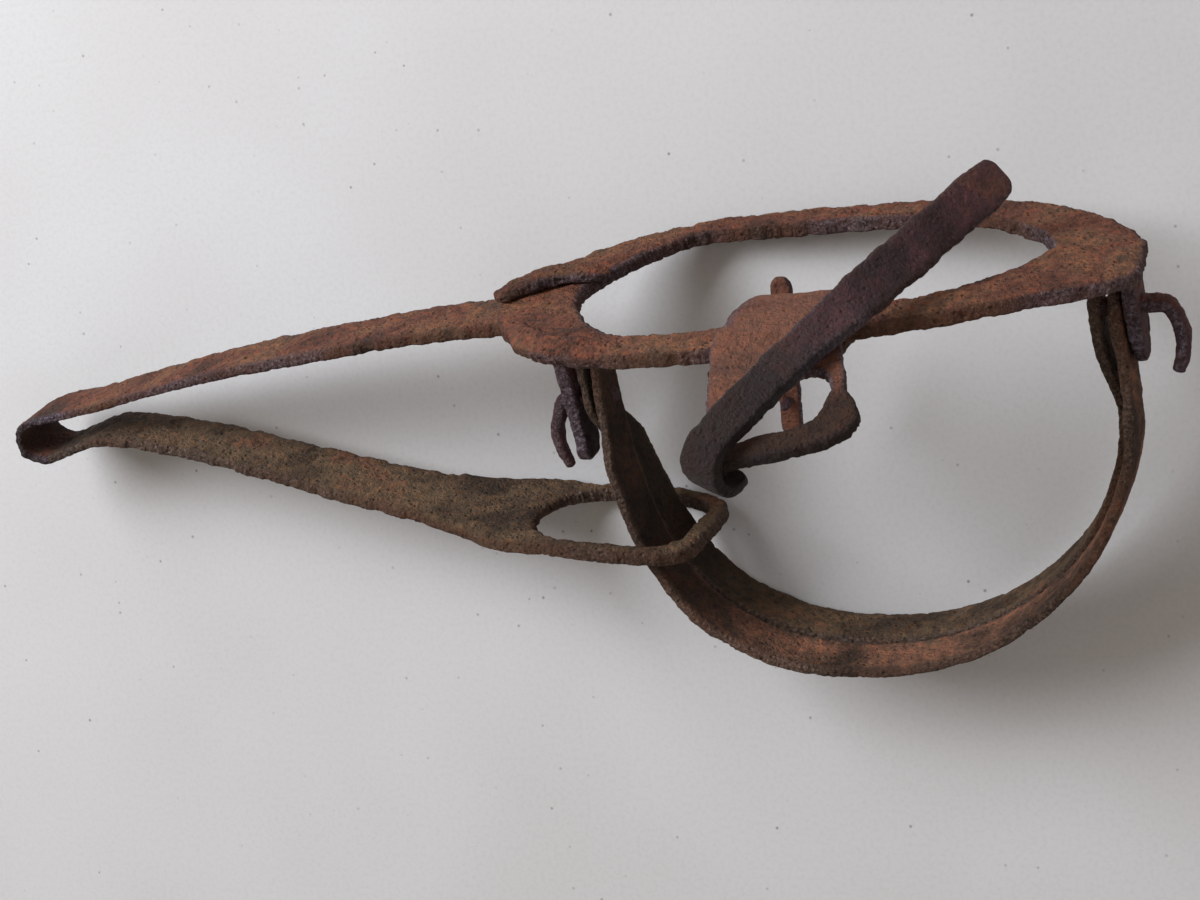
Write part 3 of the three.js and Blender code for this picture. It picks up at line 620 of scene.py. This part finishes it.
# where the frame's end is lapped and hammered down beside the spring
# its first half is darkened towards near black, fading out by its middle
strip("frameEndLap", [(-51.8, 5.0, -0.7), (-49.5, 1.4, -1.1), (-45.5, -1.6, -1.3), (-40, -3.0, -1.1),
                      (-35.5, -3.2, -0.2)],
      [4.4, 5.6, 6.2, 6.0, 4.4], [1.8, 2.4, 2.6, 2.3, 1.6], "frame", None, orangeIron,
      52,
      side=(0.2, 1, 0), count=260, columns=72, ends=(2.5, 3.0), sharp=3.0, ragged=0.9,
      shadeAndGrime=0.35 * (1 - smooth(np.linspace(0, 1, 260), 0.5, 1)),
      rough={"hollow": 0.35, "scale": 0.2, "pit": 0.6})
strip("frameEndFold", [(-44.6, 15.0, 0.6), (-39, 21.0, 0.4), (-31, 24.8, 0.5), (-22, 26.8, 0.9)],
      [3.0, 4.6, 5.2, 4.2], [1.8, 3.0, 3.1, 2.2], "frame", None, orangeIron, 54,
      side=(0, 1, 0.3), count=260, columns=64, ends=(3.0, 3.0), sharp=3.0, ragged=0.6,
      rough={"hollow": 0.3, "scale": 0.2, "pit": 0.5})
print("posts and lugs made")

# jaws: strips bent to an arch, ears at their ends, a tail hooked round each post
jaw = {"width": 10.0, "thick": 1.7, "rise": 64.2, "stagger": 1.2, "ears": 3.0, "lean": 5.0,
       "half": 42.5, "middle": 1.5, "gap": 0.35, "between": 1.0, "hookReach": 3.6, "hookLength": 11.4,
       "leftPost": 1.5, "rightPost": 1.1, "leftEar": 9.0, "rightEar": 3.5, "rightHook": 5.2}
leftPivot, rightPivot = np.array([-44.5, 0, 19.5]), np.array([45.9, 0, 9.61])
arch = [(-0.98, 0.3), (-0.945, 0.42), (-0.85, 0.66), (-0.68, 0.85), (-0.4, 0.966), (-0.06, 1.0),
        (0.25, 0.976), (0.53, 0.896), (0.77, 0.76), (0.915, 0.6), (0.99, 0.43), (1.02, 0.27)]


def pivotHeight(x):
    # height of the line through both pivots
    return leftPivot[2] + (x - leftPivot[0]) * (rightPivot[2] - leftPivot[2]) / (rightPivot[0] - leftPivot[0])


def leaned(points):
    # turn about the line through both pivots, so the closed jaws lean to the tongue's side
    k = (rightPivot - leftPivot) / np.linalg.norm(rightPivot - leftPivot)
    a = -math.radians(jaw["lean"])
    p = np.asarray(points, float) - leftPivot
    turned = p * math.cos(a) + np.cross(k, p) * math.sin(a) + (p @ k)[..., None] * k * (1 - math.cos(a))
    return turned + leftPivot


def jawPieces(name, sideways, material, seed):
    # one jaw and its hooked tail: sideways is 1 for the near jaw and -1 for the far one
    leftX = leftPivot[0] + jaw["leftPost"] + jaw["gap"] + jaw["thick"] / 2
    rightX = rightPivot[0] - jaw["rightPost"] - jaw["gap"] - jaw["thick"] / 2
    if sideways > 0:
        leftX += jaw["ears"]
    else:
        rightX -= jaw["ears"]
    points = [(leftX, 0, pivotHeight(leftX) - jaw["leftEar"]), (leftX, 0, pivotHeight(leftX) + 2)]
    for u, v in arch[1:-1]:
        low = min(max((0.95 - v) / 0.5, 0), 1)
        points.append((jaw["middle"] + sideways * jaw["stagger"] * low + u * jaw["half"], 0, v * jaw["rise"]))
    points += [(rightX, 0, pivotHeight(rightX) + 3), (rightX, 0, pivotHeight(rightX) - jaw["rightEar"])]
    centre = sideways * (jaw["width"] / 2 + jaw["between"] / 4)
    widths = [6.6, 7.4, 9.5, 9.5, 9.5, 9.5, 9.5, 9.5, 9.6, 9.8, 9.8, 9.8, 9.8, 9.8, 9.0, 7.2, 6.6]
    offsets = [0, 0.2, 0.9, 1, 1, 1, 1, 1, 1, 1, 1, 1, 1, 1, 0.85, 0.15, 0]
    count, columns = 1100, 60
    path = throughPoints(points, count)
    length = float(np.linalg.norm(np.diff(path, axis=0), axis=1).sum())
    left, right = raggedEdges(count, length, 3.4, seed)
    rounding = roundEnds(count, length, 3.2, 3.2)
    w = (alongCurve(widths, count) + (right - left) * 0.3) * rounding
    t = np.full(count, jaw["thick"]) * np.clip(rounding * 1.3, 0, 1)
    shift = alongCurve(offsets, count) * centre + (left + right) * 0.15
    grid, edge = sweepStrip(path, np.tile([0.0, 1.0, 0.0], (count, 1)), w, t, columns, 7.0, shift)
    grid = rustyRelief(grid, gridNormals(grid, False), {"hollow": 0.1, "scale": 0.15, "pit": 0.42}, seed,
                       np.clip(rounding, 0, 1)[:, None] * np.ones((1, columns)))
    grid = leaned(grid)
    body = "near_jaw" if sideways > 0 else "far_jaw"
    # painted shade over darker, sooty iron blackens the legs on the spring's side
    shadeAndGrime = 0.78 * (1 - smooth(np.linspace(0, 1, count), 0.26, 0.42))
    meshPiece(name, grid, False, body, [body], edge, material, outwardFlip(grid, False),
              shadeAndGrime=shadeAndGrime[:, None] * (1 - 0.7 * edge))
    tailX = leftX if sideways > 0 else rightX
    out = -1 if sideways > 0 else 1
    face = leftPivot[0] - jaw["leftPost"] if sideways > 0 else rightPivot[0] + jaw["rightPost"]
    hooked = jaw["hookReach"] if sideways > 0 else jaw["rightHook"]
    reach = face + out * hooked
    z = pivotHeight(reach)
    tail = [(tailX - out * 1.2, 0, pivotHeight(tailX)), ((tailX + face) / 2, 0, pivotHeight(face)),
            (face + out * 1.2, 0, pivotHeight(face) + 0.1), (face + out * (hooked - 1.5), 0, z + 1.2),
            (reach, 0, z + 5), (reach - out * 0.2, 0, z + jaw["hookLength"] - 3),
            (reach - out * 1.2, 0, z + jaw["hookLength"])]
    tail = leaned(np.array(tail, float))
    strip(name + "Tail", tail, [2.9, 3.1, 3.1, 2.9, 2.7, 2.4, 2.0], [2.6, 2.7, 2.7, 2.5, 2.3, 2.1, 1.8],
          body, None,
          darkIron, seed + 60, count=260, columns=40, sharp=2.4, ends=(0.8, 1.2), ragged=0.15,
          rough={"hollow": 0.08, "scale": 0.14, "pit": 0.3})


jawPieces("nearJaw", 1, jawIron, 61)
jawPieces("farJaw", -1, oliveIron, 67)
print("jaws made")

# trigger tongue: a plate clenched round the rail, opened out to an eye
tongue = {"thick": 1.8, "rise": 13.0, "reach": 57.6, "root": 28.2, "rail": 27.8, "clench": 12.7, "x": 2.5,
          "gap": 0.35,
          "outline": [(-7.2, -0.29), (-8.6, -0.11), (-8.6, 0.09), (-7.3, 0.27), (-6.6, 0.4), (-5.2, 0.57),
                      (-4.4, 0.7), (-3.9, 0.82), (-3.1, 0.905), (-1.4, 0.945), (1, 0.93), (4.5, 0.895),
                      (7.9, 0.87), (12.5, 0.82), (15.8, 0.74), (16.6, 0.66), (15.6, 0.55), (13.9, 0.46),
                      (12.7, 0.33), (10.4, 0.1), (9.4, -0.1), (8.4, -0.29)],
          "hole": [(8.8, 0.31), (11.3, 0.42), (11.5, 0.52), (10.6, 0.65), (9, 0.7), (6.7, 0.725), (3.5, 0.75),
                   (0.8, 0.8), (-1, 0.81), (-1.7, 0.74), (-0.6, 0.6), (2.4, 0.44), (5.6, 0.34)]}
rise = math.radians(tongue["rise"])
run = (tongue["reach"] - tongue["root"]) / math.cos(rise)


def tongueRing(count):
    # outline and hole seen from the hole's middle, so each angle has its inner and outer point
    outline = throughPoints([(x, r * run) for x, r in tongue["outline"]], 1600, True)
    hole = throughPoints([(x, r * run) for x, r in tongue["hole"]], 1200, True)
    centre = np.array([4.6, 0.6 * run])

    def seen(curve):
        d = curve - centre
        a = np.arctan2(d[:, 1], d[:, 0])
        r = np.linalg.norm(d, axis=1)
        want = np.linspace(-np.pi, np.pi, count, endpoint=False)
        order = np.argsort(a)
        a, r = a[order], r[order]
        radius = np.interp(want, np.r_[a - 2 * np.pi, a, a + 2 * np.pi], np.tile(r, 3))
        return centre + np.stack([np.cos(want), np.sin(want)], 1) * radius[:, None]

    return seen(outline), seen(hole)


outer, inner = tongueRing(640)
grid, edge = ringPiece("tonguePlate", outer, inner, -tongue["thick"], tongue["thick"], 64, 7.0,
                       {"hollow": 0.14, "scale": 0.13, "pit": 0.35}, 71, 0.25)
lifted = grid.copy()
lifted[..., 0] = grid[..., 0] + tongue["x"]
lifted[..., 1] = tongue["root"] + grid[..., 1] * math.cos(rise) - grid[..., 2] * math.sin(rise)
lifted[..., 2] = -tongue["gap"] + grid[..., 1] * math.sin(rise) + grid[..., 2] * math.cos(rise)
# inside the rail's edge the plate lies flat under it
inside = lifted[..., 1] < tongue["root"]
flatZ = -tongue["gap"] + grid[..., 2]
lifted[..., 2] = np.where(inside, flatZ, lifted[..., 2])
# the eye is darkened towards near black at its far end
meshPiece("tonguePlate", lifted, True, "frame", ["trigger_tongue"], edge,
          tongueIron, outwardFlip(lifted, True),
          shadeAndGrime=0.8 * smooth(lifted[..., 1] + 0.9 * (lifted[..., 0] - 8), 44, 52))
railTop = oval["thick"]
innerY = tongue["rail"] - tongue["clench"]
clenchPath = [(2.6, 30.6, -0.7), (2.6, 28.0, -1.2), (2.5, 22.0, -1.55), (2.4, innerY + 1.2, -1.4),
              (2.4, innerY - 0.9, -0.5), (2.3, innerY - 1.2, railTop / 2), (2.3, innerY - 0.8, railTop + 0.8),
              (2.4, innerY + 1.4, railTop + 1.4), (2.5, 21, railTop + 1.4), (2.6, 25.8, railTop + 1.3)]
strip("tongueClench", clenchPath, [17.0, 17.2, 17.4, 16.8, 15.6, 14.8, 15.2, 15.8, 15.4, 13.5],
      [1.6, 1.9, 2.0, 2.0, 2.0, 1.9, 1.9, 1.8, 1.8, 1.4], "frame", None, tongueIron,
      73, side=(1, 0, 0), count=360, columns=84, ends=(1.0, 2.0), ragged=0.45,
      rough={"hollow": 0.22, "scale": 0.13, "pit": 0.3})
print("tongue made")

# dog: a bar whose foot is curled round the eye's border
dogBar = {"length": 67.3, "yaw": 24.0, "pitch": 8.8, "thick": 2.1, "inside": 2.3, "twist": 50,
          "foot": (1.6, 54.07, 4.72)}
yaw, pitch = math.radians(dogBar["yaw"]), math.radians(dogBar["pitch"])
dogAlong = np.array([math.sin(yaw) * math.cos(pitch), -math.cos(yaw) * math.cos(pitch), -math.sin(pitch)])
dogOut = np.array([0, 0, -1.0])
dogOut = dogOut - dogAlong * (dogOut @ dogAlong)
dogOut /= np.linalg.norm(dogOut)
dogHinge = np.cross(dogOut, dogAlong)
middle = dogBar["inside"] + dogBar["thick"] / 2
reach = dogBar["length"]
line = [(reach, middle + 1), (reach * 0.8, middle + 0.9), (reach * 0.5, middle + 1.1),
        (reach * 0.35, middle + 1.1),
        (reach * 0.2, middle + 0.9), (3.5, middle + 0.1)]
line += [(middle * math.cos(math.radians(a)), middle * math.sin(math.radians(a)))
         for a in (70, 110, 150, 190, 230, 270, 305)]
# the bar is twisted between the tongue and its tip
dogTwist = np.radians(dogBar["twist"] * np.array([1.1, 1.1, 1.05, 0.9, 0.7, 0.45, 0.3, 0.3, 0.3, 0.3, 0.3]))
dogSides = dogHinge * np.cos(dogTwist)[:, None] + dogOut * np.sin(dogTwist)[:, None]
dogPath = [tuple(np.array(dogBar["foot"]) + dogAlong * u + dogOut * v) for u, v in line]
# painted shade blackens the lower bar and its curled foot, hiding the open curl
strip("dogBar", dogPath, [6.2, 7.1, 6.8, 6.9, 7.0, 6.7, 6.3, 6.0, 5.8, 5.6, 5.4],
      [1.9, 2.1, 2.1, 2.1, 2.2, 2.2, 2.3, 2.3, 2.2, 2.1, 1.6], "dog", ["dog"], darkIron,
      81,
      side=dogSides, count=760, columns=72, ends=(2.2, 1.4), ragged=0.4, sharp=6.0, wander=3.0,
      shadeAndGrime=0.85 * smooth(np.linspace(0, 1, 760), 0.42, 0.74),
      rough={"hollow": 0.14, "scale": 0.09, "pit": 0.22})
print("dog made")

# trigger: a bracket on the clench and a flat pin that rocks at its end
trigger = {"x": -6.0, "low": 1.2, "lean": 7.0}
strip("triggerBracket", [(-6.0, 25.6, 6.2), (-6.0, 18, 6.1), (-6.0, 10, 6.0), (-6.0, 2.6, 6.0)],
      [8.8, 8.8, 8.4, 8.0], 1.8, "frame", ["trigger_bracket"], tongueIron, 91,
      side=(1, 0, 0), count=220, columns=56, ends=(1.2, 1.2))
lean = math.radians(trigger["lean"])
postLine = [(trigger["x"] + z * math.sin(-lean), 0, trigger["low"] + z * math.cos(lean))
            for z in (0.0, 6, 13, 20, 26.3)]
strip("triggerPin", postLine, [3.2, 3.5, 3.3, 3.5, 3.4], [1.6, 1.8, 1.7, 1.8, 1.7], "trigger",
      ["trigger_post"], tongueIron, 93, side=(1, 0, 0), count=240, columns=44,
      ends=(1.8, 1.0), sharp=4.0, ragged=0.15)
strip("catchPin", [(-8.5, -3.3, 21.6), (-8.5, 0, 21.5), (-8.5, 3.3, 21.5)], 1.7, 1.6, "trigger",
      ["catch_pin"], darkIron, 95, count=80, columns=28, sharp=2.2, ends=(0.6, 0.6),
      ragged=0.1, side=(1, 0, 0))
print("trigger made")

# worktop, light and camera
worktop = {"wide": 1.6, "colour": "#c6c7cb", "cloud": "#c1c1c4", "speck": "#77736c"}


def laminate():
    # Pale melamine worktop: a fine pebbled grain and scattered dark specks about 0.4 mm across.
    material, tree, place = emptyMaterial("paleMelamineLaminate")
    cells = addNode(tree, "ShaderNodeTexVoronoi", {"Vector": place, "Scale": perMetre(2.6)},
                    feature="F1").outputs
    speck = addNode(tree, "ShaderNodeMapRange",
                    {"Value": cells["Distance"], 1: 0.07, 2: 0.13, 3: 1.0, 4: 0.0}).outputs[0]
    few = addNode(tree, "ShaderNodeSeparateColor", {"Color": cells["Color"]}).outputs[0]
    chosen = addNode(tree, "ShaderNodeMapRange", {"Value": few, 1: 0.78, 2: 1.0, 3: 0.0, 4: 0.75}).outputs[0]
    dark = addNode(tree, "ShaderNodeMath", {0: speck, 1: chosen}, operation="MULTIPLY").outputs[0]
    grain = addNode(tree, "ShaderNodeTexNoise", {"Vector": place, "Scale": perMetre(0.8), "Detail": 3.0,
                                                 "Roughness": 0.6}).outputs["Fac"]
    clouds = addNode(tree, "ShaderNodeTexNoise",
                     {"Vector": place, "Scale": perMetre(60), "Detail": 2.0}).outputs["Fac"]
    tone = addNode(tree, "ShaderNodeValToRGB", {"Fac": clouds},
                   [(0.35, worktop["cloud"]), (0.65, worktop["colour"])]).outputs["Color"]
    fleck = addNode(tree, "ShaderNodeValToRGB", {"Fac": grain},
                    [(0.34, "#d9d7d3"), (0.55, "#ffffff")]).outputs["Color"]
    base = addNode(tree, "ShaderNodeMix", {0: 0.16, 6: tone, 7: fleck}, data_type="RGBA",
                   blend_type="MULTIPLY").outputs[2]
    colour = addNode(tree, "ShaderNodeMix", {0: dark, 6: base, 7: worktop["speck"]},
                     data_type="RGBA").outputs[2]
    bump = addNode(tree, "ShaderNodeBump", {"Height": grain, "Strength": 0.12, "Distance": 0.0002}).outputs[0]
    shader = addNode(tree, "ShaderNodeBsdfPrincipled",
                     {"Base Color": colour, "Normal": bump, "Roughness": 0.5,
                      "Specular IOR Level": 0.35}).outputs[0]
    addNode(tree, "ShaderNodeOutputMaterial", {"Surface": shader})
    return material


half = worktop["wide"] / 2
floorMesh = bpy.data.meshes.new("worktop")
floorMesh.from_pydata([(-half, -half, 0), (half, -half, 0), (half, half, 0), (-half, half, 0)], [],
                      [(0, 1, 2, 3)])
floorMesh.materials.append(laminate())
floor = bpy.data.objects.new("worktop", floorMesh)
bpy.context.scene.collection.objects.link(floor)

world = bpy.data.worlds.new("room")
world.use_nodes = True
sky = world.node_tree.nodes["Background"]
sky.inputs["Color"].default_value = (1.0, 0.82, 0.62, 1)
sky.inputs["Strength"].default_value = 0.28
bpy.context.scene.world = world


def softLight(name, position, target, size, watts, colour):
    # a soft box aimed at a point
    lamp = bpy.data.lights.new(name, "AREA")
    lamp.shape = "RECTANGLE"
    lamp.size, lamp.size_y = size
    lamp.energy = watts
    lamp.color = colour
    box = bpy.data.objects.new(name, lamp)
    aim = np.array(target, float) - np.array(position, float)
    flat = math.hypot(aim[0], aim[1])
    box.location = position
    box.rotation_euler = (math.pi / 2 - math.atan2(-aim[2], flat), 0, math.atan2(-aim[0], aim[1]))
    bpy.context.scene.collection.objects.link(box)
    return box


softLight("windowLight", (-0.5, 0.42, 0.58), (-0.02, 0, 0), (0.62, 0.5), 10.0, (0.96, 0.98, 1.0))
softLight("roomFill", (0.6, -0.2, 0.9), (0, 0, 0.02), (0.8, 0.8), 1.6, (0.85, 0.9, 1.0))

view = {"place": (0.13756, 0.04065, 0.33227), "turn": (-9.2512, 21.2036, -6.2293), "lens": 62.987}
cameraData = bpy.data.cameras.new("camera")
cameraData.lens = view["lens"]
cameraData.sensor_width = 36
cameraData.clip_start = 0.01
camera = bpy.data.objects.new("camera", cameraData)
camera.location = view["place"]
camera.rotation_euler = Euler([math.radians(a) for a in view["turn"]], "XYZ")
bpy.context.scene.collection.objects.link(camera)
bpy.context.scene.camera = camera
bpy.context.scene.view_settings.view_transform = "Standard"
print("worktop, light and camera set")
